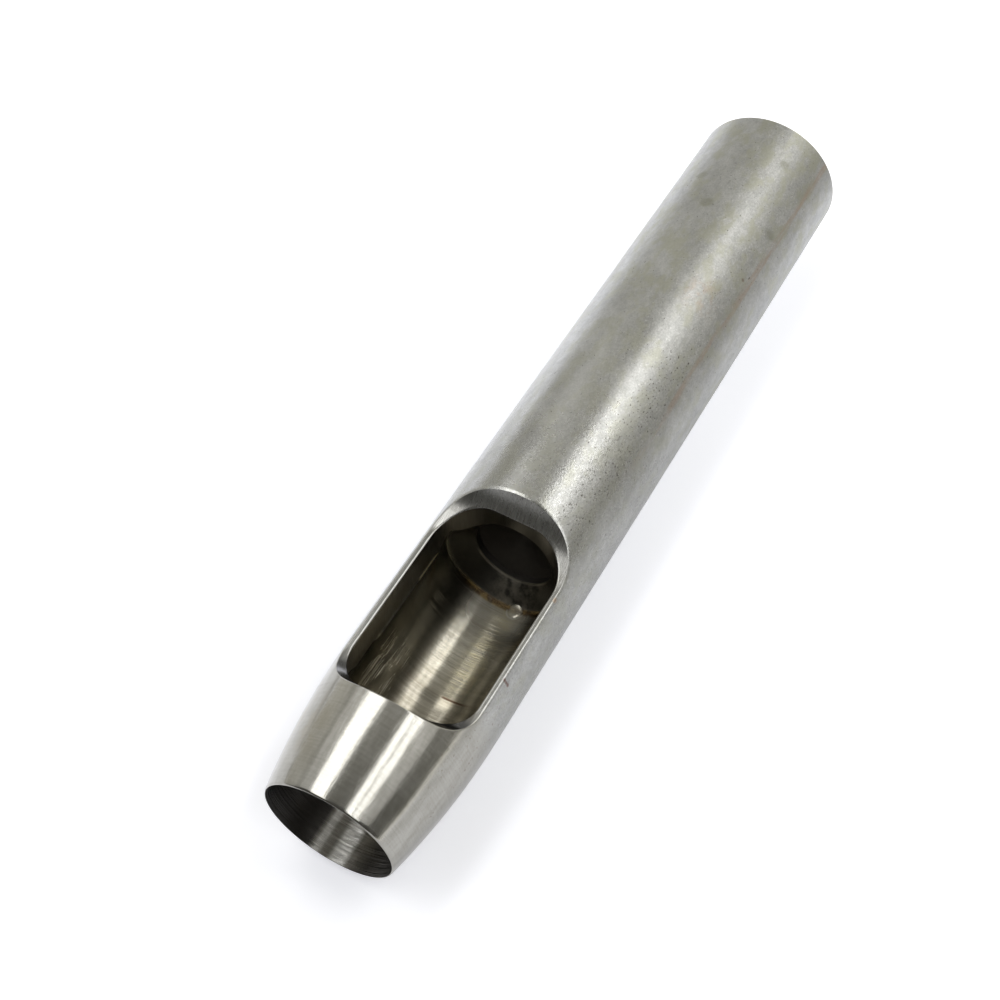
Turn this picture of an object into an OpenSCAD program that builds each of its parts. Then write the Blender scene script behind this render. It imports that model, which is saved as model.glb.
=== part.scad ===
// Hollow punch
// A one-piece steel hand tool. Its sharp round edge cuts discs and holes in leather, felt, cork,
// rubber and gasket sheet under a hammer blow, and the cut discs leave through a window in its side.
// The tool lies on its side with the window up. X runs from the cutting edge to the struck end.

/* [Shank] */
// Diameter of the round bar that the tool is turned from
shank_d = 25.4; // [25:0.1:32]
// Length from the cutting edge to the struck end
body_l = 146; // [110:1:200]
// Broken corner round the struck end
struck_break = 0.3; // [0.1:0.1:2]

/* [Nose] */
// Diameter of the disc that the edge cuts
cut_d = 20; // [18.5:0.1:20.5]
// Width of the fine land that sharpening leaves on the cutting edge
edge_land = 0.2; // [0.1:0.05:0.6]
// Length of the curved taper behind the edge
nose_l = 23.6; // [20:0.1:30]

/* [Bore] */
// Length of the bore behind the edge that was reamed to size after drilling
reamed_l = 29.5; // [20:0.5:40]
// Thickness that the reamer took off the drilled wall
reamed_off = 0.2; // [0.15:0.05:0.5]
// How far short of the window's rear end the straight bore stops
bore_short = 3.1; // [0.5:0.1:4]
// Slope of the cone at the bottom of the bore, measured from the axis
bore_tip_angle = 45; // [40:1:48]
// Diameter of the pilot hole that was drilled first
pilot_d = 13; // [8:0.1:14]
// Straight length of the pilot hole beyond the bore's cone
pilot_l = 1.1; // [0.6:0.1:8]
// Point angle of the pilot drill
drill_point = 118; // [100:1:140]

/* [Window] */
// Distance from the cutting edge to the front end of the window's rim flat
rim_front = 22.2; // [21:0.1:28]
// Length of the rim flat between its curved ends
rim_l = 22.6; // [17:0.1:30]
// Height of the rim flat above the tool's axis
rim_h = 6.65; // [6:0.05:7.5]
// Radius of the cutter that milled the rim flat and its curved front end
rim_front_r = 6.7; // [6.2:0.1:8]
// Radius of the curve that leads from the rim flat up to the shank at the rear
rim_rear_r = 8.9; // [8:0.1:12]
// How far the through slot reaches past the rim flat towards the cutting edge
slot_reach_front = 5.8; // [4:0.1:5.8]
// How far the through slot reaches past the rim flat towards the struck end
slot_reach_rear = 6.3; // [4:0.1:7]
// Width of the through slot
slot_w = 19.9; // [19.7:0.1:20.4]
// Height above the tool's axis at which the slot's end mill stopped
slot_floor = 0.3; // [0.1:0.1:1]
// Corner radius of the through slot, which is that of its end mill
slot_corner_r = 6.7; // [4:0.1:8]

/* [Hidden] */
$fn = 128;
shank_r = shank_d / 2;
cut_r = cut_d / 2;
bore_r = cut_r - reamed_off;
edge_r = cut_r + edge_land;
pilot_r = pilot_d / 2;
nose_rise = shank_r - edge_r;
// Radius of the arc that leaves the edge's land and meets the shank without a corner
nose_arc_r = (pow(nose_l, 2) + pow(nose_rise, 2)) / (2 * nose_rise);
rim_rear = rim_front + rim_l;
slot_front = rim_front - slot_reach_front;
slot_rear = rim_rear + slot_reach_rear;
slot_l = slot_rear - slot_front;
slot_r = slot_w / 2;
bore_l = slot_rear - bore_short;
pilot_start = bore_l + (bore_r - pilot_r) / tan(bore_tip_angle);
pilot_end = pilot_start + pilot_l;
pilot_tip = pilot_end + pilot_r / tan(drill_point / 2);
// Cuts run this far past the surface that they leave
past = 2;
steel = [0.62, 0.61, 0.58];

// Turns a half profile, drawn as radius against distance from the cutting edge, about the X axis
module turned() {
    rotate([0, 90, 0])
        rotate_extrude()
            children();
}

// Half profile of the shank behind the nose, with the broken corner at the struck end
module shank_profile() {
    polygon([
        [0, nose_l],
        [shank_r, nose_l],
        [shank_r, body_l - struck_break],
        [shank_r - struck_break, body_l],
        [0, body_l]
    ]);
}

// Half profile of the nose: a long arc, tangent to the shank, that ends at the edge's land
module nose_profile() {
    intersection() {
        square([shank_r, nose_l]);
        translate([shank_r - nose_arc_r, nose_l])
            circle(r = nose_arc_r, $fn = 720);
    }
}

// Half profile of all that was drilled out: reamed bore, drilled bore, its cone, pilot hole and point
module drilled_profile() {
    polygon([
        [0, -past],
        [cut_r, -past],
        [cut_r, reamed_l],
        [bore_r, reamed_l],
        [bore_r, bore_l],
        [pilot_r, pilot_start],
        [pilot_r, pilot_end],
        [0, pilot_tip]
    ]);
}

// One curved end of the rim cut, a quarter circle that rises from the flat, open above
module rim_end(r) {
    translate([0, r]) {
        circle(r = r);
        translate([-r, 0])
            square([r, shank_d]);
    }
}

// Trough of the rim cutter, whose axis lay across the tool: a flat between two round ends
module rim_cut() {
    rotate([90, 0, 0])
        linear_extrude(height = shank_d + 2 * past, center = true)
            translate([rim_front, rim_h]) {
                square([rim_l, shank_d]);
                rim_end(rim_front_r);
                translate([rim_l, 0])
                    mirror([1, 0])
                        rim_end(rim_rear_r);
            }
}

// Through slot of the end mill, which came straight down into the bore and stopped above its axis
module slot_cut() {
    translate([slot_front, -slot_r, slot_floor])
        linear_extrude(height = shank_r + past) {
            translate([slot_corner_r, 0])
                square([slot_l - 2 * slot_corner_r, slot_w]);
            translate([0, slot_corner_r])
                square([slot_l, slot_w - 2 * slot_corner_r]);
            for (x = [slot_corner_r, slot_l - slot_corner_r],
                 y = [slot_corner_r, slot_w - slot_corner_r])
                translate([x, y])
                    circle(r = slot_corner_r);
        }
}

// The whole tool, cut from one bar, lying on the ground with its middle over the origin
module punch_body() {
    color(steel)
        translate([-body_l / 2, 0, shank_r])
            difference() {
                turned() {
                    shank_profile();
                    nose_profile();
                }
                turned()
                    drilled_profile();
                rim_cut();
                slot_cut();
            }
}

punch_body();
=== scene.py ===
# %% [markdown]
# A hollow punch, dressed for its portrait.
# The real tool is one bar of steel: turned to a tapered nose, drilled from the cutting end, and milled
# on one side so that the cut discs can leave. Nothing on it moves, so the whole look lies in how exact
# the curves are and in how each machining step left its own finish on the steel.
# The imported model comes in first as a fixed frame. Everything below is in its axes: X runs from the
# cutting edge to the struck end, Z is up through the window, and the floor is at zero.

# %% Load the frame
import math

import bmesh
import bpy
import numpy as np
from mathutils import Matrix, Vector


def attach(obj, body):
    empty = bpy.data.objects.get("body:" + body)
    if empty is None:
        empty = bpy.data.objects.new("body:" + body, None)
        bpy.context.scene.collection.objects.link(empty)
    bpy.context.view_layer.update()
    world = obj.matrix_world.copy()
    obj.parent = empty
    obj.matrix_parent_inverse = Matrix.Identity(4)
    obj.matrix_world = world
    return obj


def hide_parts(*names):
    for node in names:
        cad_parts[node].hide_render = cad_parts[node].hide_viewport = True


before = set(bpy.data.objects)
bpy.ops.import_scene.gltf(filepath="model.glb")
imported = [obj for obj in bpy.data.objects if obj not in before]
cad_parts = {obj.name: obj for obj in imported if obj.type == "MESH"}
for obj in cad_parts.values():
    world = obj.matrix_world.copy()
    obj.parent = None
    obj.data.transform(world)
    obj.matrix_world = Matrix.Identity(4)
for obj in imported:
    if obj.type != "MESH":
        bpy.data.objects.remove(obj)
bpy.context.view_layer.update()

# %% [markdown]
# The sizes below are the tool's own, in millimetres, measured from the cutting edge and from the axis.
# They repeat the named values of the solid model, so the dressed surface lies on the solid and leaves
# it only by a hair's width, where an edge is worn. Working in the tool's own units keeps every formula
# close to a workshop drawing; one function at the end moves the finished points into the frame, in
# metres.

# %% Sizes of the tool
shank_r, body_l, struck_break = 12.7, 146.0, 0.3
cut_r, edge_land, nose_l = 10.0, 0.2, 23.6
reamed_l, bore_r, bore_l = 29.5, 9.8, 48.0
pilot_r, pilot_l, drill_point = 6.5, 1.1, math.radians(118)
rim_front, rim_rear, rim_h = 22.2, 44.8, 6.65
rim_front_r, rim_rear_r = 6.7, 8.9
slot_front, slot_rear, slot_r = 16.4, 51.1, 9.95
slot_floor, slot_corner_r = 0.3, 6.7
print("length", body_l, "bar", 2 * shank_r, "disc", 2 * cut_r)

# %% [markdown]
# The outside is a body of revolution, and the window's rim is a trough milled across it. Both are
# plain functions of the distance x from the edge: a radius for the one, a height for the other.
# Where the two meet is the window's outer edge, so that edge needs no boolean cut: at each x it lies
# at the height of the trough, on the circle of the outside.

# %% Outside and rim as functions of x
keen_land, strop_reach = 0.04, 0.12
edge_r, stropped = cut_r + edge_land, edge_land - keen_land
nose_arc_r = (nose_l**2 + (shank_r - edge_r) ** 2) / (2 * (shank_r - edge_r))


def outer_radius(x):
    """Shank radius, less the sag of a large circle in front of the point where it leaves the shank, less
    what stropping took off behind the edge, which dies out within half a millimetre."""
    ahead = np.clip(nose_l - x, 0, None)
    sag = nose_arc_r - np.sqrt(nose_arc_r**2 - ahead**2)
    return shank_r - sag - stropped * np.exp(-x / strop_reach)


def rim_height(x):
    """Height of the flat, plus the rise of a circle beyond either end of it, which has its own radius."""
    ahead, behind = np.clip(rim_front - x, 0, rim_front_r), np.clip(x - rim_rear, 0, rim_rear_r)
    rise_front = rim_front_r - np.sqrt(rim_front_r**2 - ahead**2)
    return rim_h + rise_front + rim_rear_r - np.sqrt(rim_rear_r**2 - behind**2)


def breakout(start, end, samples=20001):
    """Distance x, going from start to end, at which the trough passes in through the outside."""
    x = np.linspace(start, end, samples)
    return float(np.interp(0, outer_radius(x) - rim_height(x), x))


apex_front = breakout(rim_front - rim_front_r, rim_front)
apex_rear = breakout(rim_rear + rim_rear_r, rim_rear)
print("window on the outside from", round(apex_front, 2), "to", round(apex_rear, 2))

# %% [markdown]
# The window has two outlines, seen from above: the slot's rounded rectangle, and the outer edge of
# the rim. Half of each is drawn, from the plane of symmetry at the front to the same plane at the
# rear, as a row of columns. A column holds one point of each outline, so that the rim between them is
# a simple ruled grid. One column sits exactly where the bore's cone starts, to keep that edge crisp.

# %% Outline of the slot
front_columns, side_columns, cone_columns, rear_columns = 44, 41, 12, 33


def spaced(curve, shares):
    """Points of a polyline at the given shares of its length."""
    run = np.concatenate([[0], np.cumsum(np.linalg.norm(np.diff(curve, axis=0), axis=1))])
    return np.stack([np.interp(shares * run[-1], run, c) for c in curve.T], -1)


def slot_end(x_end, inwards, straight_samples=200, corner_samples=800):
    """Half of one end of the slot: a straight piece from the middle, then a quarter circle."""
    across = np.linspace(0, slot_r - slot_corner_r, straight_samples)
    turn = np.linspace(0, math.pi / 2, corner_samples)
    straight = np.stack([np.full_like(across, x_end), across], -1)
    corner = np.stack([x_end + inwards * slot_corner_r * (1 - np.cos(turn)),
                       slot_r - slot_corner_r + slot_corner_r * np.sin(turn)], -1)
    return np.concatenate([straight, corner[1:]])


side_front, side_rear = slot_front + slot_corner_r, slot_rear - slot_corner_r
rear_run = slot_corner_r * math.pi / 2 + slot_r - slot_corner_r
cone_share = slot_corner_r * math.asin((bore_l - side_rear) / slot_corner_r) / rear_run
front_shares = np.linspace(0, 1, front_columns + 1)
side_shares = np.linspace(0, 1, side_columns + 1)[1:]
rear_shares = np.concatenate([np.linspace(0, cone_share, cone_columns + 1)[1:],
                              np.linspace(cone_share, 1, rear_columns + 1)[1:]])
slot_side = np.stack([side_front + (side_rear - side_front) * side_shares,
                      np.full_like(side_shares, slot_r)], -1)
slot_edge = np.concatenate([spaced(slot_end(slot_front, 1), front_shares), slot_side,
                            spaced(slot_end(slot_rear, -1)[::-1], rear_shares)])
slot_edge[[0, -1], 1] = 0
columns = len(slot_edge)
print(columns, "columns along half of the window")


# %% Outer edge of the rim
def reach_at(x):
    """How far out the edge lies at x: as far as the circle of the outside is at the trough's height."""
    return np.sqrt(np.clip(outer_radius(x) ** 2 - rim_height(x) ** 2, 0, None))


def rim_end(apex, flat_end, samples=4000):
    """Half of one end of the edge. Samples crowd at the apex as a square, where it turns."""
    x = apex + (flat_end - apex) * np.linspace(0, 1, samples) ** 2
    return np.stack([x, reach_at(x)], -1)


rim_side_x = rim_front + (rim_rear - rim_front) * side_shares
rim_x = np.concatenate([spaced(rim_end(apex_front, rim_front), front_shares)[:, 0], rim_side_x,
                        spaced(rim_end(apex_rear, rim_rear)[::-1], rear_shares)[:, 0]])
rim_edge = np.stack([rim_x, reach_at(rim_x)], -1)
rim_edge[[0, -1], 1] = 0
print("widest, mm:", round(2 * rim_edge[:, 1].max(), 2))

# %% [markdown]
# No milled edge is perfectly sharp. After milling, the bar was buffed, so its skin rolls down to the
# window's outer edge and catches the light there, most of all round the rear end. The rim's own side
# of that edge stayed crisp, and the slot's edge has only a thin round. A Bevel modifier keeps one width
# all the way and treats both sides alike, so here the rounds are laid directly: step a little way
# along each face, square to the edge, and join the points with a parabola.

# %% Steps aside from an edge
tiny = 1e-4


def unit(v):
    """Vectors scaled to length one."""
    return v / np.linalg.norm(v, axis=-1, keepdims=True)


def slope_of(profile, x):
    """Rise of a profile over a tiny step about x, divided by the step."""
    return (profile(x + tiny) - profile(x - tiny)) / (2 * tiny)


def rim_normal(x):
    """Upward normal of the trough: minus its slope, then nought across, then one."""
    return unit(np.stack([-slope_of(rim_height, x), np.zeros_like(x), np.ones_like(x)], -1))


def outer_normal(p):
    """Outward normal of the outside: radial, tipped forward by the slope of the nose."""
    return unit(np.column_stack([-slope_of(outer_radius, p[:, 0]), unit(p[:, 1:])]))


def step_aside(edge, normal, width, towards):
    """Moves an edge by width within a face, square to the edge, to the side that towards points to."""
    aside = unit(np.cross(normal, np.gradient(edge, axis=0)))
    sign = np.sign(np.sum(aside * towards, -1, keepdims=True))
    moved = edge + width * sign * aside
    moved[[0, -1], 1] = 0
    return moved


def on_trough(plan):
    """Points in plan, lifted onto the trough."""
    return np.column_stack([plan, rim_height(plan[:, 0])])


def onto_outside(p):
    """Points moved straight out or in until they lie on the outside."""
    angle = np.arctan2(p[:, 1], p[:, 2])
    ring = np.stack([np.sin(angle), np.cos(angle)], -1)
    return np.column_stack([p[:, 0], outer_radius(p[:, 0])[:, None] * ring])


outer_edge_3d, slot_edge_3d = on_trough(rim_edge), on_trough(slot_edge)
outwards = outer_edge_3d - slot_edge_3d
print("rim is", round(np.linalg.norm(outwards, axis=1).min(), 3), "mm wide at its narrowest")

# %% Rounds along the two outlines
roll_steps, rim_steps, break_steps = 6, 7, 4
roll_x, break_x = [19, 23, 42, 47], [19, 23, 44, 47]
slot_break, slot_aim, slot_drop = 0.32, 0.104, 0.22


def round_over(a, control, b, steps):
    """Parabola from a to b that heads for the control point at both ends, as rows of a grid."""
    u = np.linspace(0, 1, steps + 1)[None, :, None]
    return (1 - u) ** 2 * a[:, None] + 2 * u * (1 - u) * control[:, None] + u**2 * b[:, None]


roll_start = np.interp(rim_edge[:, :1], roll_x, [0.14, 0.12, 0.12, 0.50])
roll_aim = np.interp(rim_edge[:, :1], roll_x, [0.05, 0.085, 0.085, 0.16])
roll_end = np.interp(rim_edge[:, :1], roll_x, [0.06, 0.15, 0.15, 0.16])
over_edge = outer_normal(outer_edge_3d)
on_outer = onto_outside(step_aside(outer_edge_3d, over_edge, roll_start, outwards))
aim = onto_outside(step_aside(outer_edge_3d, over_edge, roll_aim, outwards))
on_rim = on_trough(step_aside(outer_edge_3d, rim_normal(rim_edge[:, 0]), roll_end, -outwards)[:, :2])

slot_width = np.interp(slot_edge[:, :1], break_x, [0.1, 1, 1, 0.3])
by_slot = step_aside(slot_edge_3d, rim_normal(slot_edge[:, 0]), slot_break * slot_width, outwards)
by_slot = on_trough(by_slot[:, :2])
slot_control = slot_edge_3d - [0, 0, slot_aim] * slot_width
down_slot = slot_edge_3d - [0, 0, slot_drop] * slot_width

outer_round_rows = round_over(on_outer, aim, on_rim, roll_steps)
slot_round_rows = round_over(by_slot, slot_control, down_slot, break_steps)
across = np.linspace(0, 1, rim_steps + 1)[None, :, None]
rim_plan = on_rim[:, None, :2] * (1 - across) + by_slot[:, None, :2] * across
rim_rows = np.concatenate([rim_plan, rim_height(rim_plan[..., :1])], -1)
print("narrowest rim between the rounds, mm:", np.linalg.norm(on_rim - by_slot, axis=1).min().round(3))

# %% [markdown]
# The outside is then one grid for half the tool: the columns run from the edge's land to the middle
# of the struck face, and each row is a fixed share of the way from the top, or from the window's
# edge, round to the bottom. Where there is no window the first row lies on the plane of symmetry. A Screw
# modifier would turn the same body from a profile, but its columns would not follow the window's edge.

# %% Outside, from the cutting edge to the struck face
rows, nose_columns, shank_columns, face_rings = 76, 35, 53, 8
nose_crowding = 2.2
row_shares = np.linspace(0, 1, rows + 1)


def turned(x, r, start):
    """Half a ring for each column: radius r at distance x, from the angle start round to the bottom."""
    angle = start + (math.pi - start) * row_shares
    x, r, angle = np.broadcast_arrays(x, r, angle)
    return np.stack([x, r * np.sin(angle), r * np.cos(angle)], -1)


def column(values):
    """A list of values as a column, to be spread along the rows."""
    return np.asarray(values, float)[:, None]


face_r = shank_r - struck_break
nose_x = on_outer[0, 0] * np.linspace(0, 1, nose_columns + 1) ** nose_crowding
shank_x = np.linspace(on_outer[-1, 0], body_l - struck_break, shank_columns + 1)
outside_x = np.concatenate([nose_x[:-1], on_outer[:, 0], shank_x[1:]])
window_start = np.arctan2(on_outer[:, 1], on_outer[:, 2])
outside_start = np.concatenate([np.zeros(nose_columns), window_start, np.zeros(shank_columns)])
outside = turned(column(outside_x), column(outer_radius(outside_x)), column(outside_start))
chamfer = turned(column([body_l - struck_break, body_l]), column([shank_r, face_r]), 0)
struck_face = turned(column([body_l] * (face_rings + 1)), column(np.linspace(face_r, 0, face_rings + 1)), 0)
land = turned(column([0, 0]), column([edge_r - stropped, cut_r]), 0)
print("outside grid", outside.shape[:2], "struck face rings", face_rings)

# %% [markdown]
# Inside, each window column starts at the rounded top of the slot's wall, goes straight down the wall
# until it meets the bore, and then follows the bore to the bottom. The reamer cleaned the front of the
# bore and ran out in a slow taper. Behind it the bore is a hair's width narrower than the slot, and the
# rounded corner of the end mill left a lip that leads in to it. Where the slot's end is straight, many
# columns share one x, so they fan out on their way down. A boolean cut would leave slivers here, because
# wall and bore meet at a grazing angle. Grids that are led down the wall have none.

# %% Bore as a function of x
run_out = 1.6
pilot_start = bore_l + bore_r - pilot_r
pilot_end = pilot_start + pilot_l
pilot_tip = pilot_end + pilot_r / math.tan(drill_point / 2)


def bore_radius(x):
    """Reamed bore, its run-out, drilled bore, a cone at 45 degrees, the pilot hole, the drill's point."""
    return np.interp(x, [reamed_l - run_out, reamed_l, bore_l, pilot_start, pilot_end, pilot_tip],
                     [cut_r, bore_r, bore_r, pilot_r, pilot_r, 0])


print("pilot hole from", round(pilot_start, 2), "to", round(pilot_tip, 2))

# %% Slot wall, lip and bore
wall_rows, lip_rows, lip_h = 8, 3, 0.2
fan_front, fan_rear = -1.5, 0.15
front_bore_columns, pilot_columns, point_columns = 25, 3, 8
slot_x, slot_y = slot_edge[:, 0], slot_edge[:, 1]
fan = np.zeros(columns)
front_straight, rear_straight = slot_x < slot_front + 1e-6, slot_x > slot_rear - 1e-6
fan[front_straight] = np.linspace(fan_front, 0, front_straight.sum())
fan[rear_straight] = np.linspace(0, fan_rear, rear_straight.sum())


def fanned(x, shift, share):
    """Distance x, moved by shift as the share of the way to the bottom grows, fast at first."""
    return x + shift * (1 - (1 - share) ** 2)


def ramp(start, end, count):
    """Rows that lead from one column of values to another."""
    share = np.linspace(0, 1, count + 1)
    return column(start) * (1 - share) + column(end) * share


def rows_of(*parts):
    """Points of a grid from their three coordinates."""
    return np.stack(np.broadcast_arrays(*parts), -1)


wall_r = bore_radius(slot_x)
foot = np.maximum(np.sqrt(np.clip(wall_r**2 - slot_y**2, 0, None)), slot_floor)
foot_y = np.minimum(slot_y, np.sqrt(wall_r**2 - foot**2))
lip_top = foot + np.minimum(lip_h, 0.5 * (down_slot[:, 2] - foot))
wall = rows_of(column(slot_x), column(slot_y), ramp(down_slot[:, 2], lip_top, wall_rows))
lip = rows_of(column(slot_x), ramp(slot_y, foot_y, lip_rows), ramp(lip_top, foot, lip_rows))
bore_x = fanned(column(slot_x), column(fan), row_shares)
bore = turned(bore_x, bore_radius(bore_x), column(np.arctan2(foot_y, foot)))

front_share = column(np.linspace(0, 1, front_bore_columns + 1))
front_bore = turned(fanned(slot_front * front_share, fan[0] * front_share, row_shares), cut_r, 0)
pilot_x = np.concatenate([np.linspace(pilot_start, pilot_end, pilot_columns + 1),
                          np.linspace(pilot_end, pilot_tip, point_columns + 1)[1:]])
pilot = np.concatenate([bore[-1:], turned(column(pilot_x), column(bore_radius(pilot_x)), 0)])
print("bore grid", bore.shape[:2], "lip leads in by", (slot_y - foot_y).max().round(3), "mm")

# %% [markdown]
# All grids are now stacked into one mesh together with their mirror images. Neighbouring grids share
# the points of their common edge, so welding closes the skin. Grids that shrink to nothing, such as
# the lip beyond its ends, vanish in the same step. A closed skin has no open edge and encloses a
# volume, so both are printed and can be set against the solid.

# %% All grids, with their finishes
SHANK, RIM, WALL, BORE, FACE = range(5)
grids = [(outside, SHANK), (chamfer, SHANK), (land, SHANK), (struck_face, FACE), (outer_round_rows, SHANK),
         (rim_rows, RIM), (slot_round_rows, RIM), (wall, WALL), (lip, WALL),
         (front_bore, BORE), (bore, BORE), (pilot, BORE)]


def quads(grid, first):
    """Corner numbers of a grid's faces: this column and the next, this row and the next."""
    n, m = grid.shape[:2]
    a = first + (np.arange(n - 1)[:, None] * m + np.arange(m - 1)).reshape(-1)
    return np.stack([a, a + m, a + m + 1, a + 1], -1)


print(len(grids), "grids with", sum(len(quads(grid, 0)) for grid, kind in grids), "faces on each half")

# %% Weld the grids into one skin
weld_m, collapse_m, crease = 1e-6, 1e-7, math.radians(30)


def weld(mesh):
    """Joins points closer than a micrometre, drops what has shrunk to nothing, and turns all faces out."""
    skin = bmesh.new()
    skin.from_mesh(mesh)
    bmesh.ops.remove_doubles(skin, verts=skin.verts, dist=weld_m)
    bmesh.ops.dissolve_degenerate(skin, edges=skin.edges, dist=collapse_m)
    bmesh.ops.recalc_face_normals(skin, faces=skin.faces)
    open_edges = sum(len(e.link_faces) != 2 for e in skin.edges)
    print("open edges", open_edges, "volume, mm3", round(skin.calc_volume(signed=True) * 1e9, 1))
    skin.to_mesh(mesh)
    skin.free()


def punch_mesh(name):
    """Half of the skin and its mirror image in the plane of symmetry, in the frame's axes, in metres."""
    points, faces, finish, first = [], [], [], 0
    for grid, kind in grids:
        for side in (1, -1):
            points.append((grid * [1, side, 1]).reshape(-1, 3))
            corner = quads(grid, first)
            faces.append(corner if side > 0 else corner[:, ::-1])
            finish.append(np.full(len(corner), kind))
            first += len(points[-1])
    points = (np.concatenate(points) + [-body_l / 2, 0, shank_r]) / 1000
    mesh = bpy.data.meshes.new(name)
    mesh.from_pydata(points.tolist(), [], np.concatenate(faces).tolist())
    mesh.polygons.foreach_set("material_index", np.concatenate(finish).astype(np.int32))
    weld(mesh)
    mesh.shade_smooth()
    mesh.set_sharp_from_angle(angle=crease)
    return mesh


punch = bpy.data.objects.new("punch_skin", punch_mesh("punch_skin"))
bpy.context.scene.collection.objects.link(punch)
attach(punch, "root")
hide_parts("punch_body")
print("faces", len(punch.data.polygons))

# %% [markdown]
# Materials are built from nodes. To keep their sums readable, this small class wraps a node's output
# so that Python's own signs add Math nodes. Every other node comes from its one method.

# %% A socket that does sums
class Wire:
    """One output of a node. Sums of wires and numbers add Math nodes to the same tree."""

    def __init__(self, tree, output=None):
        self.tree, self.output = tree, output

    def node(self, kind, settings=None, sockets=None, output=0):
        """Adds a node of that type: first its settings, then the values or links of its sockets."""
        made = self.tree.nodes.new("ShaderNode" + kind)
        for name, value in (settings or {}).items():
            setattr(made, name, value)
        for name, value in (sockets or {}).items():
            if isinstance(value, Wire):
                self.tree.links.new(value.output, made.inputs[name])
            else:
                made.inputs[name].default_value = value
        return Wire(self.tree, made.outputs[output])

    def sum(self, operation, *others):
        """A Math node with this wire first."""
        return self.node("Math", {"operation": operation}, dict(enumerate((self, *others))))

    def __add__(self, other):
        return self.sum("ADD", other)

    def __sub__(self, other):
        return self.sum("SUBTRACT", other)

    def __rsub__(self, other):
        return self.node("Math", {"operation": "SUBTRACT"}, {0: other, 1: self})

    def __mul__(self, other):
        return self.sum("MULTIPLY", other)

    __radd__, __rmul__ = __add__, __mul__

    def ease(self, low, high):
        """Nought below low, one above high, and a smooth rise between; reversed where low is above high."""
        if low > high:
            return 1 - self.ease(high, low)
        limits = {0: self, 1: low, 2: high, 3: 0.0, 4: 1.0}
        return self.node("MapRange", {"interpolation_type": "SMOOTHSTEP"}, limits)

    def band(self, start, full, last, end):
        """One from full to last, easing to nought at start and at end."""
        return self.ease(start, full) * self.ease(end, last)

    def tint(self, colour, other):
        """Colour where this wire is nought, other where it is one."""
        return self.node("Mix", {"data_type": "RGBA"}, {0: self, 6: colour, 7: other}, 2)


def rgb(r, g, b):
    """A colour with full alpha."""
    return (r, g, b, 1.0)


# %% [markdown]
# Every finish needs to know where it is on the tool: how far from the edge, and how far from the axis.
# Object coordinates give that in metres, and here they are turned into the tool's millimetres. Marks
# that run round the tool are noise that is squeezed along X and stretched across it. Marks that run
# along it are the opposite. Neither needs an angle, so no seam shows anywhere.

# %% Places and marks on the tool
class Place:
    """Coordinates of a material in the tool's millimetres, and noise and spots laid out in them."""

    def __init__(self, tree):
        self.start = Wire(tree)
        at = self.start.node("TexCoord", output="Object")
        at = self.vector("SCALE", {0: at, "Scale": 1000.0})
        self.at = self.vector("ADD", {0: at, 1: (body_l / 2, 0, -shank_r)})
        self.x, self.y, self.z = (self.start.node("SeparateXYZ", None, {0: self.at}, k) for k in range(3))

    def vector(self, operation, sockets, output=0):
        """A Vector Math node."""
        return self.start.node("VectorMath", {"operation": operation}, sockets, output)

    def noise(self, sizes, detail=2.0, rough=0.5, seed=0.0):
        """Noise from nought to one whose blotches have the given sizes in millimetres along X, Y and Z."""
        scale, shift = tuple(1 / s for s in sizes), (seed, seed * 0.7, seed * 1.3)
        at = self.vector("MULTIPLY_ADD", {0: self.at, 1: scale, 2: shift})
        look = {"Vector": at, "Scale": 1.0, "Detail": detail, "Roughness": rough}
        return self.start.node("TexNoise", None, look)

    def gap(self, point):
        """Distance to a point in millimetres."""
        return self.vector("DISTANCE", {0: self.at, 1: point}, 1)

    def spots(self, *spots):
        """Round spots, added up. Each has a point, and an inner and an outer radius of its soft border."""
        first, *rest = (self.gap(point).ease(outer, inner) for point, inner, outer in spots)
        return sum(rest, first)


def steel(name):
    """A new material with its place and its metal shader."""
    material = bpy.data.materials.new(name)
    material.use_nodes = True
    shader = material.node_tree.nodes["Principled BSDF"]
    shader.inputs["Metallic"].default_value = 1.0
    return material, Place(material.node_tree), shader


def node_count(material):
    """Number of nodes in a material so far."""
    return len(material.node_tree.nodes)


def feed(shader, colour, roughness, bump, height):
    """Links a finish to the shader. Where the bump is one, it stands height millimetres proud."""
    tree = shader.id_data
    tree.links.new(colour.output, shader.inputs["Base Color"])
    tree.links.new(roughness.output, shader.inputs["Roughness"])
    made = bump.node("Bump", None, {"Height": bump, "Strength": 1.0, "Distance": height / 1000})
    tree.links.new(made.output, shader.inputs["Normal"])


def dress(material):
    """Gives the punch its next finish. The finishes come in the order in which the grids number them."""
    punch.data.materials.append(material)
    print(material.name, node_count(material), "nodes")
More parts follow.
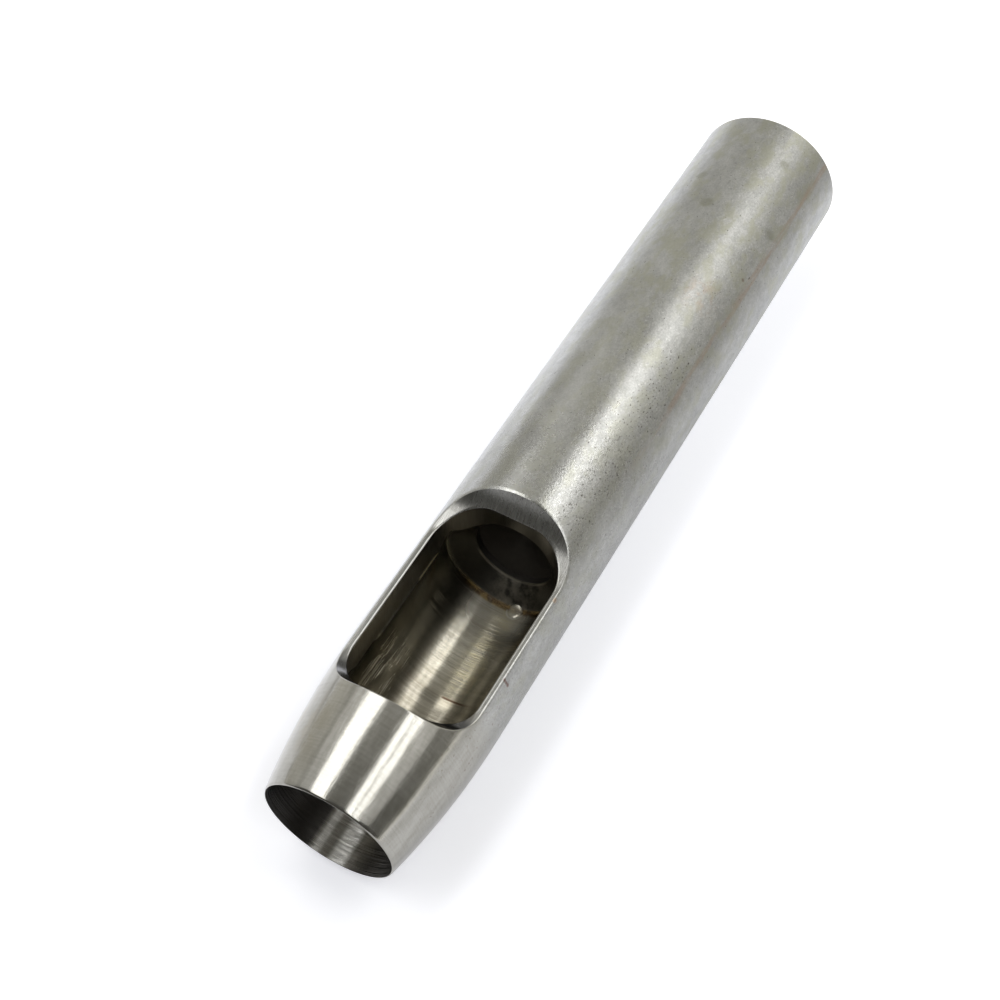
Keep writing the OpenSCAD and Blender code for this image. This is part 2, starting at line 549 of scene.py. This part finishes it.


# %% [markdown]
# The shank kept its drawn and tumbled skin: a satin grey with a cloudy cast and a fine grain. Along the
# top and the upper right, where the strip lights fall, the grain and the bright flecks are painted
# stronger, as painted sparkle. On top of that lie the marks of a life in a toolbox: an olive film of old
# oil, a few darker drips, some rust, and pits, which are thickest beside the ridge. Each is a mask that
# tints the steel, laid on in the order in which they came. They could be painted on an image, but masks
# made of noise stay sharp from close by, and the tool needs no unwrapping.

# %% Skin of the shank
def shank_skin(place):
    """Colour, roughness and height of the bare skin. A weighted sum of cloud, mottle, grain and flecks,
    with more of the last two as painted sparkle on the lit upper right, mixes a dark and a light grey."""
    cloud = place.noise((9, 5, 5), 3, 0.6, 3).ease(0.3, 0.7)
    mottle = place.noise((1.5, 1.1, 1.1), 3, 0.6, 13).ease(0.3, 0.7)
    grain = place.noise((0.36, 0.32, 0.32), 2, 0.75, 7).ease(0.34, 0.66)
    fleck = place.noise((0.45, 0.34, 0.34), 1, 0.5, 71).ease(0.64, 0.74)
    # Painted sparkle: along the top and the upper right, where the strip lights fall, the grain and flecks
    # are painted stronger on a slightly darker ground.
    painted_sparkle = place.y.band(-11.4, -9.6, -2, 3) * place.z.ease(2, 5)
    tone = 0.13 + cloud * 0.24 + mottle * 0.18 - painted_sparkle * 0.09
    tone = tone + grain * (0.19 + painted_sparkle * 0.14) + fleck * (0.16 + painted_sparkle * 0.22)
    colour = tone.tint(rgb(0.31, 0.31, 0.297), rgb(0.62, 0.621, 0.60))
    roughness = 0.27 + cloud * 0.05 - mottle * 0.05 + place.x.ease(60, 115) * 0.14
    return colour, roughness, grain * 0.36


bar, on_bar, bar_shader = steel("shank_and_nose_steel")
skin, satin, skin_height = shank_skin(on_bar)
print("bare skin", node_count(bar), "nodes")


# %% Stains, rust and pits of the shank
def stained(place, colour, shank):
    """The skin's colour, tinted in turn by the olive film, the drips, the rust, a painted warm highlight
    along the struck end's edge, and the pits. Those are the peaks of a fine noise, which is raised where
    they lie thick."""
    x, y, z = place.x, place.y, place.z
    olive = place.noise((5, 3, 3), 4, 0.7, 11).ease(0.44, 0.64) * (0.5 + x.ease(60, 115) * 0.5)
    colour = (olive * 0.66).tint(colour, rgb(0.405, 0.403, 0.315))
    drips = place.spots(((121.8, 2.4, 12.5), 0.7, 1.5), ((128.9, 6.4, 11.0), 0.6, 1.3),
                        ((137.6, -5.1, 11.6), 0.5, 1.4), ((123.4, -8.9, 9.0), 0.5, 1.5))
    colour = (drips * 0.6).tint(colour, rgb(0.29, 0.29, 0.235))
    rust = place.spots(((103.0, -5.4, 11.4), 0.8, 5.5))
    rust = rust * place.noise((1.6, 1.6, 1.6), 3, 0.6, 31).ease(0.45, 0.65)
    rust = rust + place.spots(((43.4, -10.9, 6.5), 0.2, 0.6)) * 2
    streak = y.band(-10.7, -10.3, -10.0, -9.6) * z.ease(4, 6) * x.ease(64, 85)
    rust = rust + streak * place.noise((8, 0.7, 0.7), 4, 0.7, 37).ease(0.38, 0.6) * 1.5
    colour = (rust * 0.4).tint(colour, rgb(0.43, 0.33, 0.25))
    # Painted highlight: a warm yellow line of light along the edge of the struck end.
    colour = (x.ease(body_l - 0.5, body_l - 0.25) * 0.7).tint(colour, rgb(0.60, 0.57, 0.42))
    thick = y.band(-10.6, -9.2, -6.4, -4.4) * z.ease(6, 8) * x.ease(104, 80) * 0.07
    thick = thick + place.noise((9, 6, 6), 2, 0.5, 19).ease(0.35, 0.6) * 0.018
    pits = (place.noise((0.42, 0.32, 0.32), 2, 0.6, 23) + thick).ease(0.70, 0.74) * shank
    return (pits * 0.82).tint(colour, rgb(0.085, 0.075, 0.065))


shank = on_bar.x.ease(17.0, 26.0)
skin = stained(on_bar, skin, shank)
print("stained skin", node_count(bar), "nodes")

# %% [markdown]
# The nose was turned and polished after the shank was finished, so it is smoother and mirrors the lights
# sharply. What breaks the mirror up is slight: the rings of the turning tool, a long soft wave, fine
# draw marks along it and a smear of oil. One material carries nose and shank, and fades from the one to
# the other behind the nose, because on the real bar no edge parts them.

# %% Polish of the nose
def nose_polish(place):
    """Colour, roughness and height of the polished steel, as weighted sums of smear, rings, wave and draw
    marks."""
    smear = place.noise((5, 1.2, 1.2), 3, 0.6, 41)
    turning = place.noise((0.25, 4, 4), 2, 0.6, 5)
    tone = (smear * 0.65 + turning * 0.35).ease(0.3, 0.7)
    colour = tone.tint(rgb(0.395, 0.384, 0.345), rgb(0.495, 0.484, 0.447))
    patch = place.spots(((9, 8.5, 7), 1, 8)) * place.noise((3, 2, 2), 3, 0.6, 47).ease(0.35, 0.6)
    colour = (patch * 0.45).tint(colour, rgb(0.36, 0.33, 0.25))
    wave = place.noise((7, 2.2, 2.2), 1, 0.5, 29) + place.noise((3, 0.8, 0.8), 2, 0.5, 43) * 0.25
    drawn = place.noise((9, 0.25, 0.25), 2, 0.6, 53)
    return colour, 0.105 + smear * 0.1, turning * 0.12 + wave * 1.1 + drawn * 0.25


polish, shine, polish_height = nose_polish(on_bar)
print("skin and polish", node_count(bar), "nodes")


# %% Outside finish
def dark_nicks(place):
    """A mask of the nicks on the right flank of shank and nose: a few known ones, and a fine scatter."""
    nicks = place.spots(((28.6, -10.95, 6.4), 0.12, 0.42), ((28.6, -11.45, 5.5), 0.12, 0.42),
                        ((28.6, -11.2, 5.95), 0.1, 0.35))
    nicks = nicks + place.spots(((111.9, -9.2, 8.8), 0.05, 0.5)) * 0.7
    flank = place.y.ease(-8.5, -9.8) * place.x.band(4, 9, 26, 36) * place.z.ease(-6, 0)
    return nicks + place.noise((0.45, 0.36, 0.36), 2, 0.6, 83).ease(0.65, 0.71) * flank * 0.7


colour = (dark_nicks(on_bar) * 0.8).tint(shank.tint(polish, skin), rgb(0.16, 0.085, 0.065))
roughness = shine + shank * (satin - shine)
feed(bar_shader, colour, roughness, shank * skin_height + (1 - shank) * polish_height, 0.02)
dress(bar)

# %% [markdown]
# The window was milled: fine scratches follow the cutter's path along the flat and up the rim's round
# ends. The flat is darker where fingers and swarf have rubbed dirt into it, the front end stayed dark,
# and the rear end is scored by a few bright nicks. The rear end is also darker along its top, and painted
# shade on its left corner cuts off the reflection there. The flats and the ends are parted by their place
# alone, so ranges of x, y and z can stand in for painting.

# %% Rim finish
def rim_steel():
    """Scratched grey steel. Ranges of height, side and distance darken its flats and its front, and lay
    the nicks, a darker top and painted shade on its rear."""
    material, place, shader = steel("milled_rim_steel")
    x, y, z = place.x, place.y, place.z
    scratch = place.noise((2.5, 0.14, 2.5), 3, 0.6, 2)
    cloud = place.noise((2, 2, 2), 3, 0.55, 8)
    colour = scratch.ease(0.3, 0.75).tint(rgb(0.36, 0.357, 0.34), rgb(0.48, 0.477, 0.455))
    colour = (cloud.ease(0.5, 0.7) * 0.4).tint(colour, rgb(0.33, 0.31, 0.27))
    flat = z.ease(7.2, 6.9)
    colour = (y.ease(10.2, 10.35) * flat * 0.6).tint(colour, rgb(0.25, 0.247, 0.235))
    colour = (y.band(-10.3, -10.0, -9.5, -9) * flat * 0.5).tint(colour, rgb(0.15, 0.14, 0.11))
    colour = (x.ease(22.0, 19.8) * 0.7).tint(colour, rgb(0.17, 0.17, 0.175))
    rear = x.ease(45.5, 48)
    scored = scratch.ease(0.35, 0.65).tint(rgb(0.33, 0.325, 0.305), rgb(0.46, 0.455, 0.43))
    colour = (rear * 0.5).tint(colour, scored)
    nicks = place.noise((2.5, 0.12, 2.5), 1, 0.5, 67).ease(0.66, 0.72)
    nicks = nicks * place.noise((1.5, 1.5, 1.5), 1, 0.5, 73).ease(0.45, 0.6)
    colour = (rear * nicks * 0.8).tint(colour, rgb(0.85, 0.84, 0.80))
    # Darker along the top of the rear end, and painted shade on its left corner past x 49, where the
    # reflection ends.
    darker_top_and_painted_shade = z.ease(10.6, 11.6) * 0.3 + x.ease(48.7, 49.2) * y.ease(6.0, 7.5) * 0.45
    colour = darker_top_and_painted_shade.tint(colour, rgb(0.19, 0.185, 0.17))
    feed(shader, colour, 0.17 + scratch * 0.1 + rear * 0.06, scratch, 0.01)
    return material


dress(rim_steel())

# %% [markdown]
# The slot's wall shows the upright marks of the end mill under a skin of dark oil, and towards the rear
# painted shade blackens it further. The noise for the marks is stretched along Z, which is the way the
# mill stood. At the foot of the left wall a few millimetres of the lip carry a painted golden highlight,
# which is too thin for a piece of its own, so it is a mask as well.

# %% Slot wall finish
def wall_steel():
    """Upright marks mix two browns, blackened towards the rear by painted shade, with a painted golden
    highlight along one length of the lip."""
    material, place, shader = steel("milled_wall_steel")
    x, y, z = place.x, place.y, place.z
    marks = place.noise((0.3, 0.3, 4.0), 3, 0.6, 14)
    cloud = place.noise((3, 3, 3), 3, 0.6, 17)
    colour = marks.ease(0.3, 0.7).tint(rgb(0.15, 0.142, 0.122), rgb(0.24, 0.23, 0.205))
    colour = (cloud.ease(0.4, 0.7) * 0.5).tint(colour, rgb(0.15, 0.13, 0.10))
    # Painted shade: the wall darkens to near black towards the rear, where the slot's corner lies in shadow.
    colour = (x.ease(45, 48.5) * 0.75).tint(colour, rgb(0.07, 0.062, 0.05))
    # Painted highlight: a golden glint along a few millimetres of the lip at the foot of the left wall.
    painted_glint = z.ease(slot_floor + 0.28, slot_floor + 0.18) * y.ease(9.0, 9.6) * x.band(39.6, 41, 45.2, 46)
    colour = painted_glint.tint(colour, rgb(0.95, 0.84, 0.58))
    feed(shader, colour, 0.26 + marks * 0.1, marks, 0.01)
    return material


dress(wall_steel())

# %% [markdown]
# The bore shows the rings of the drill and the reamer. Squeezed noise makes them, in several widths, so
# that the streaks of light down the bore break up as they do on the real one. Behind the mouth two painted
# reflections lie on the wall's floor, with painted black shade on its sides. Further in it is olive with
# oil, paler towards the rear, dark on the left and with a yellow film on the right. A brown line marks
# where the reamer stopped.

# %% Wall of the bore
def mouth_wall(place, tone):
    """Colour behind the cutting edge, by the distance across: two painted reflections on the floor, and
    painted black shade to both sides of them."""
    y = place.y
    colour = tone.tint(rgb(0.22, 0.21, 0.185), rgb(0.34, 0.325, 0.29))
    # Painted reflections: the two streaks along the floor behind the mouth stand in for reflected light.
    bare = y.band(-2.0, -0.9, 0.5, 1.4) + y.band(2.2, 2.8, 3.2, 3.8) * 0.45
    colour = bare.tint(colour, tone.tint(rgb(0.66, 0.65, 0.61), rgb(0.95, 0.94, 0.90)))
    # Painted shade: black to both sides of the streaks.
    painted_black_shade = y.ease(3.3, 4.4) + y.ease(-1.8, -5.0) * 0.75
    return painted_black_shade.tint(colour, rgb(0.055, 0.052, 0.048))


def bore_wall(place, tone, mouth, inner):
    """Colour of the wall from the mouth to the cone: dark to pale by distance, tinted in turn by the mouth,
    the shaded left, the film and the reamer's line."""
    x, y, z = place.x, place.y, place.z
    dark = tone.tint(rgb(0.25, 0.23, 0.18), rgb(0.38, 0.355, 0.295))
    pale = tone.tint(rgb(0.40, 0.375, 0.30), rgb(0.54, 0.515, 0.44))
    colour = mouth.tint(inner.tint(dark, pale), mouth_wall(place, tone))
    shaded = y.ease(4.5, 8.0) * x.ease(18, 26) * (0.8 - x.ease(43, 46) * 0.3)
    colour = shaded.tint(colour, rgb(0.08, 0.076, 0.064))
    film = y.band(-4.4, -2.6, -0.6, 1.6) * x.ease(26, 37) * z.ease(-8, -9)
    colour = (film * tone * 0.8).tint(colour, rgb(0.46, 0.41, 0.25))
    line = x.band(reamed_l - 0.12, reamed_l, reamed_l + 0.2, reamed_l + 0.35) * z.ease(0, -3)
    line = line * (0.15 + y.band(-6, -2.5, -0.4, 0.2) * 0.75)
    return line.tint(colour, rgb(0.10, 0.055, 0.03))


hole, in_hole, hole_shader = steel("bored_steel")
rings = in_hole.noise((0.22, 14, 14), 2, 0.6, 1)
bands = in_hole.noise((1.2, 12, 12), 2, 0.5, 6)
cloud = in_hole.noise((1.6, 1.6, 1.6), 3, 0.6, 9)
tone = (rings * 0.4 + bands * 0.25 + cloud * 0.35).ease(0.34, 0.66)
mouth, inner = in_hole.x.ease(15, 9), in_hole.x.ease(28, 40)
colour = bore_wall(in_hole, tone, mouth, inner)
print("wall of the bore", node_count(hole), "nodes")

# %% [markdown]
# Old oil has gathered at the bottom of the bore, where the cone starts, and dried to a golden brown line.
# A bubble stands in it, its pale rim and pale middle painted highlights. It could be a small dome of its
# own, but it isn't part of the tool, so it is a dome in the bump, as high as half a ball. The cone is
# painted black with shade, greyer where painted light and grime lie on its floor, and the pilot hole
# beyond it is painted black with shade, with a painted highlight on the lower part of its lip. Low
# scratches on the left came from whatever was used to hook the discs out.

# %% Oil at the bottom of the bore
bubble, bubble_r = (47.75, -2.45, -9.45), 1.25


def oiled(place, colour, cloud, cone, painted_black_shade):
    """The wall's colour, tinted in turn by the cone's painted shade and painted light with grime, a painted
    highlight on the lip of the pilot hole, the oil, the pilot's painted black shade and the bubble's painted
    highlights, and the bubble's dome: the root of one less the square of the share of its radius."""
    x, y, z = place.x, place.y, place.z
    # Painted shade and light: the cone goes near black, and greyer where painted light and grime lie on its
    # floor.
    painted_light_and_grime = cloud.ease(0.25, 0.65) * y.band(-6.5, -3, 0, 4)
    colour = (cone * 0.93).tint(colour, painted_light_and_grime.tint(rgb(0.032, 0.031, 0.028), rgb(0.27, 0.25, 0.21)))
    # Painted highlight: a light line on the lower part of the pilot hole's lip.
    lip = x.ease(pilot_start - 0.35, pilot_start - 0.1) * z.ease(-2, -5)
    colour = (lip * 0.6).tint(colour, rgb(0.46, 0.43, 0.36))
    oil = x.band(bore_l - 1.0, bore_l - 0.3, bore_l + 0.1, bore_l + 0.5) * z.ease(-5.0, -8.0)
    brown = cloud.ease(0.42, 0.6).tint(rgb(0.15, 0.09, 0.035), rgb(0.40, 0.28, 0.11))
    colour = (oil * cloud.ease(0.2, 0.45) * 0.9).tint(colour, brown)
    # Painted shade: the pilot hole is black.
    colour = (painted_black_shade * 0.92).tint(colour, rgb(0.055, 0.05, 0.045))
    gap = place.gap(bubble)
    dome = (1 - gap * gap * (1 / bubble_r**2)).sum("MAXIMUM", 0.0).sum("SQRT")
    # Painted highlights: the bubble's middle is pale, and so is its rim on the near side.
    colour = (dome.ease(0.15, 0.6) * 0.6).tint(colour, rgb(0.50, 0.48, 0.40))
    rim = gap.band(bubble_r - 0.13, bubble_r, bubble_r + 0.15, bubble_r + 0.35) * x.ease(47.9, 47.3)
    return (rim * 0.6).tint(colour, rgb(0.66, 0.64, 0.55)), dome


cone = in_hole.x.ease(bore_l - 0.4, bore_l + 0.6)
# Where the pilot hole is painted black as shade.
painted_black_shade = in_hole.x.ease(pilot_start - 0.05, pilot_start + 0.25)
colour, dome = oiled(in_hole, colour, cloud, cone, painted_black_shade)
print("oiled bore", node_count(hole), "nodes")


# %% Bore finish
def low_scratches(place):
    """A mask of long scratches on the left of the bore: thin noise along X, broken up by a coarser one."""
    scratch = place.noise((8, 0.11, 0.11), 1, 0.5, 12).ease(0.56, 0.62)
    scratch = scratch * place.noise((5, 1.2, 1.2), 1, 0.5, 21).ease(0.42, 0.55)
    return scratch * place.y.band(5.5, 7.5, 9.5, 9.9) * place.x.band(14, 18, 28, 36)


def dusty(place):
    """How much dust dulls the metal: more of it towards the rear of the floor, none beyond the bore."""
    x, y = place.x, place.y
    on_floor = y.band(-6.0, -2.5, 2.0, 6.5) * (x.ease(34, 40) * 0.2 + x.ease(42, 45.5) * 0.5)
    return on_floor * x.ease(bore_l + 1, bore_l)


scratch = low_scratches(in_hole)
colour = (scratch * 0.9).tint(colour, rgb(0.75, 0.73, 0.66))
roughness = 0.16 + rings * 0.05 + cone * 0.13 + painted_black_shade * 0.3 + scratch * 0.25 + mouth * 0.1
fine = in_hole.noise((0.09, 14, 14), 1, 0.5, 61)
height = rings * 0.12 + bands * 0.05 + fine * (0.5 + inner * 0.6 + mouth * 9) + dome * 22
metal = 1 - dusty(in_hole)
hole.node_tree.links.new(metal.output, hole_shader.inputs["Metallic"])
feed(hole_shader, colour, roughness, height, 0.02)
dress(hole)

# %% [markdown]
# The struck face isn't seen in the photograph. Faced on a lathe, it has fine rings about its middle,
# and hammering has dulled it a little. Noise that is read along the radius gives true rings.

# %% Struck face finish
def struck_steel():
    """Noise read along the radius gives fine rings, and a coarse noise gives cloudy dull patches."""
    material, place, shader = steel("struck_face_steel")
    radius = (place.y * place.y + place.z * place.z).sum("SQRT")
    at = place.start.node("CombineXYZ", None, {0: radius * 3, 1: place.y * 0.03, 2: place.z * 0.03})
    rings = place.start.node("TexNoise", None, {"Vector": at, "Scale": 1.0, "Detail": 2.0})
    cloud = place.noise((4, 4, 4), 3, 0.6, 5)
    colour = rings.ease(0.3, 0.7).tint(rgb(0.33, 0.325, 0.30), rgb(0.42, 0.415, 0.39))
    colour = (cloud.ease(0.5, 0.75) * 0.5).tint(colour, rgb(0.33, 0.31, 0.26))
    feed(shader, colour, 0.26 + cloud * 0.14, rings, 0.015)
    return material


dress(struck_steel())

# %% [markdown]
# The tool lies on white paper. A pale floor alone would come out grey, so it gets a little glow of its
# own, faintly blue, which only shows in the shadow, where it makes up more of the light. The camera sees
# less of that glow close to the tool's sides, and more towards its far end and ahead of its nose, which
# paints the shadow darker beside the tool and lighter further off. The steel mirrors the paper in its
# flanks, where the real sheet was lit unevenly: brighter on the left and towards the far end, dimmer on
# the right and ahead. So the glow that glossy rays meet follows the place on the sheet.

# %% Glow of the paper
def mirrored_glow(x, y):
    """Glow that the steel mirrors: the sum of what lies on its left, on its right and ahead of it, each
    from ranges of the place in metres, and never less than nought."""
    left, tail = y.ease(-0.02, 0.03), x.ease(0, 0.12)
    far = tail * (0.85 - y.ease(0.035, 0.06) * 0.36) + x.ease(0.1, 0.16) * 0.1
    on_left = left * (0.54 + x.ease(-0.05, 0.02) * 0.06 + far) - y.ease(0.02, 0.07) * 0.28
    on_left = on_left - y.ease(0.06, 0.18) * x.ease(-0.05, 0.03) * 0.5
    on_left = on_left - y.ease(0.1, 0.15) * x.band(0.03, 0.06, 0.1, 0.15) * 0.2
    on_left = on_left - y.ease(0.03, 0.055) * x.band(-0.03, 0, 0.03, 0.07) * 0.14
    close = y.ease(-0.05, -0.024) * (1 - left) * (0.09 + tail * 0.15 + x.ease(0, 0.05) * 0.08)
    on_right = y.ease(-0.08, -0.02) * (0.2 + tail * 0.4) + close
    ahead = x.ease(0.03, -0.03) * (1 - left * 1.2) * y.ease(-0.02, -0.05) * 0.3
    ahead = ahead + (y.ease(-0.2, -0.35) * 0.25 + y.ease(-0.5, -1.0) * 0.35) * x.ease(0.4, 0.2)
    return (on_left + on_right + ahead).sum("MAXIMUM", 0.0)


def seen_glow(x, y):
    """Glow that the camera sees: one level, and more of it away from the tool's sides, towards its far end
    and ahead of its nose, which paints the floor's shadow."""
    # Painted shadow: less glow close to the tool's sides darkens the floor there.
    away = y.sum("ABSOLUTE").ease(0.0145, 0.0195).sum("MAXIMUM", x.ease(-0.08, -0.1))
    return 0.345 + away * 0.09 + x.ease(-0.06, 0.07) * 0.11 + x.ease(-0.06, -0.075) * 0.07


paper = bpy.data.materials.new("white_paper")
paper.use_nodes = True
on_paper = Wire(paper.node_tree)
paper_at = on_paper.node("TexCoord", output="Object")
paper_x, paper_y = (on_paper.node("SeparateXYZ", None, {0: paper_at}, k) for k in (0, 1))
mirrored, seen = mirrored_glow(paper_x, paper_y), seen_glow(paper_x, paper_y)
print("glow", node_count(paper), "nodes")

# %% Floor
camera_ray = on_paper.node("LightPath", output="Is Camera Ray")
glossy_ray = on_paper.node("LightPath", output="Is Glossy Ray")
glass_ray = on_paper.node("LightPath", output="Is Transmission Ray")
level = (camera_ray * seen).sum("MAXIMUM", glossy_ray * mirrored).sum("MAXIMUM", glass_ray * 0.33)
glow = level.tint(rgb(0, 0, 0), rgb(0.885, 0.905, 1.0))
white = camera_ray.tint(rgb(0.65, 0.65, 0.65), rgb(0.97, 0.97, 0.97))
paper_shader = paper.node_tree.nodes["Principled BSDF"]
paper.node_tree.links.new(white.output, paper_shader.inputs["Base Color"])
paper.node_tree.links.new(glow.output, paper_shader.inputs["Emission Color"])
paper_shader.inputs["Emission Strength"].default_value = 1.0
paper_shader.inputs["Roughness"].default_value = 1.0
paper_shader.inputs["Specular IOR Level"].default_value = 0.0

reach = 1.6
corners = reach * np.array([(-1, -1, 0), (1, -1, 0), (1, 1, 0), (-1, 1, 0)])
sheet = bpy.data.meshes.new("floor")
sheet.from_pydata(corners.tolist(), [], [(0, 1, 2, 3)])
floor = bpy.data.objects.new("floor", sheet)
bpy.context.scene.collection.objects.link(floor)
floor.data.materials.append(paper)
print("floor", 2 * reach, "m square")

# %% [markdown]
# Polished steel shows nothing but its surroundings, so the lights are placed by their mirror images.
# On the nose one softbox shows left of the ridge and a pair of strips right of it, with a dark gap
# between. On the shank only the strips show, nearer to its ridge than on the nose, so they are long,
# reach back and lean inwards. A smaller softbox at the left's far end is there for the bore alone, as its
# second streak. Two dim ones stand for the glow of the lights on the walls.

# %% Softboxes
lamp_height, strip_l, strip_lean = 0.50, 1.020, 10.0


def softbox(name, centre, size, lean, radiance):
    """An area light facing down. The power that gives a radiance is pi times that times the area."""
    lamp = bpy.data.lights.new(name, "AREA")
    lamp.shape, lamp.size, lamp.size_y = "RECTANGLE", size[0], size[1]
    lamp.energy = math.pi * radiance * size[0] * size[1]
    box = bpy.data.objects.new(name, lamp)
    leaning = Matrix.Rotation(math.radians(lean), 4, "Z")
    box.matrix_world = Matrix.Translation((*centre, lamp_height)) @ leaning
    box.visible_camera = False
    bpy.context.scene.collection.objects.link(box)
    print(name, "power", round(lamp.energy, 2), "W")


softbox("strip_inner", (0.110, -0.202), (strip_l, 0.088), strip_lean, 2.6)
softbox("strip_outer", (0.110, -0.335), (strip_l, 0.122), strip_lean, 2.3)
softbox("glow_right", (0.220, -0.620), (0.800, 0.460), strip_lean, 0.5)
softbox("softbox_left", (-0.130, 0.256), (0.540, 0.260), 0.0, 2.5)
softbox("softbox_left_end", (0.240, 0.450), (0.140, 0.270), 0.0, 1.9)
softbox("glow_left", (0.050, 0.560), (0.600, 0.320), 0.0, 0.4)

# %% [markdown]
# The room around is a warm grey, lighter towards the far end of the tool and on its left wall, and a
# little lighter high on its right wall. A dark doorway beyond the far end is mirrored by the front curve
# of the window. Low on the right a bright strip, where floor and wall meet, shows along the side of the
# nose. All this hangs on the direction alone, so the world's shader can carry it.

# %% Room
world = bpy.context.scene.world or bpy.data.worlds.new("room")
bpy.context.scene.world = world
world.use_nodes = True
air = Wire(world.node_tree)
way = air.node("TexCoord", output="Generated")
x, y, z = (air.node("SeparateXYZ", None, {0: way}, k) for k in range(3))
left_wall = y.ease(0.75, 0.95) * 0.29 - y.ease(0.5, 0.72) * 0.1
right_wall = x.ease(0.35, 0.5) * y.ease(-0.6, -0.72) * z.ease(0.2, 0.32) * 0.07
skirting = z.ease(0.06, 0.02) * y.ease(-0.80, -0.92) * x.ease(0.45, 0.36) * 1.2
doorway = (0.94, 0.28, 0.19)
to_doorway = air.node("VectorMath", {"operation": "DOT_PRODUCT"}, {0: way, 1: doorway}, 1)
level = 0.27 + x * 0.48 + y * 0.10 + left_wall - to_doorway.ease(0.93, 0.985) * 0.5
level = level.sum("MAXIMUM", 0.1) + right_wall + skirting
background = world.node_tree.nodes["Background"]
background.inputs["Color"].default_value = rgb(1.0, 0.985, 0.92)
world.node_tree.links.new(level.output, background.inputs["Strength"])
print("room", len(world.node_tree.nodes), "nodes")

# %% [markdown]
# The camera was worked out from the photograph: the ellipse of the mouth, the two sides of the shank
# and the window's corners fix where it stood, how it was turned and how long its lens was. It looks
# down along the tool from the front and to its right, with the picture's middle on its optical axis.

# %% Camera
camera_at = (-0.13890, -0.06024, 0.20972)
right, ahead = Vector((0.48822, -0.87262, 0.01309)), Vector((0.51470, 0.27579, -0.81181))
right.normalize()
ahead = (ahead - ahead.dot(right) * right).normalized()
turn = Matrix((right, right.cross(ahead), -ahead)).transposed()
photo = bpy.data.cameras.new("photo")
photo.sensor_width, photo.lens = 36.0, 56.80
photo.clip_start, photo.clip_end = 0.01, 20
viewer = bpy.data.objects.new("photo", photo)
viewer.matrix_world = Matrix.Translation(camera_at) @ turn.to_4x4()
bpy.context.scene.collection.objects.link(viewer)
bpy.context.scene.camera = viewer
bpy.context.scene.view_settings.view_transform = "Standard"
print("camera", [round(v, 3) for v in camera_at], "lens", round(photo.lens, 2))
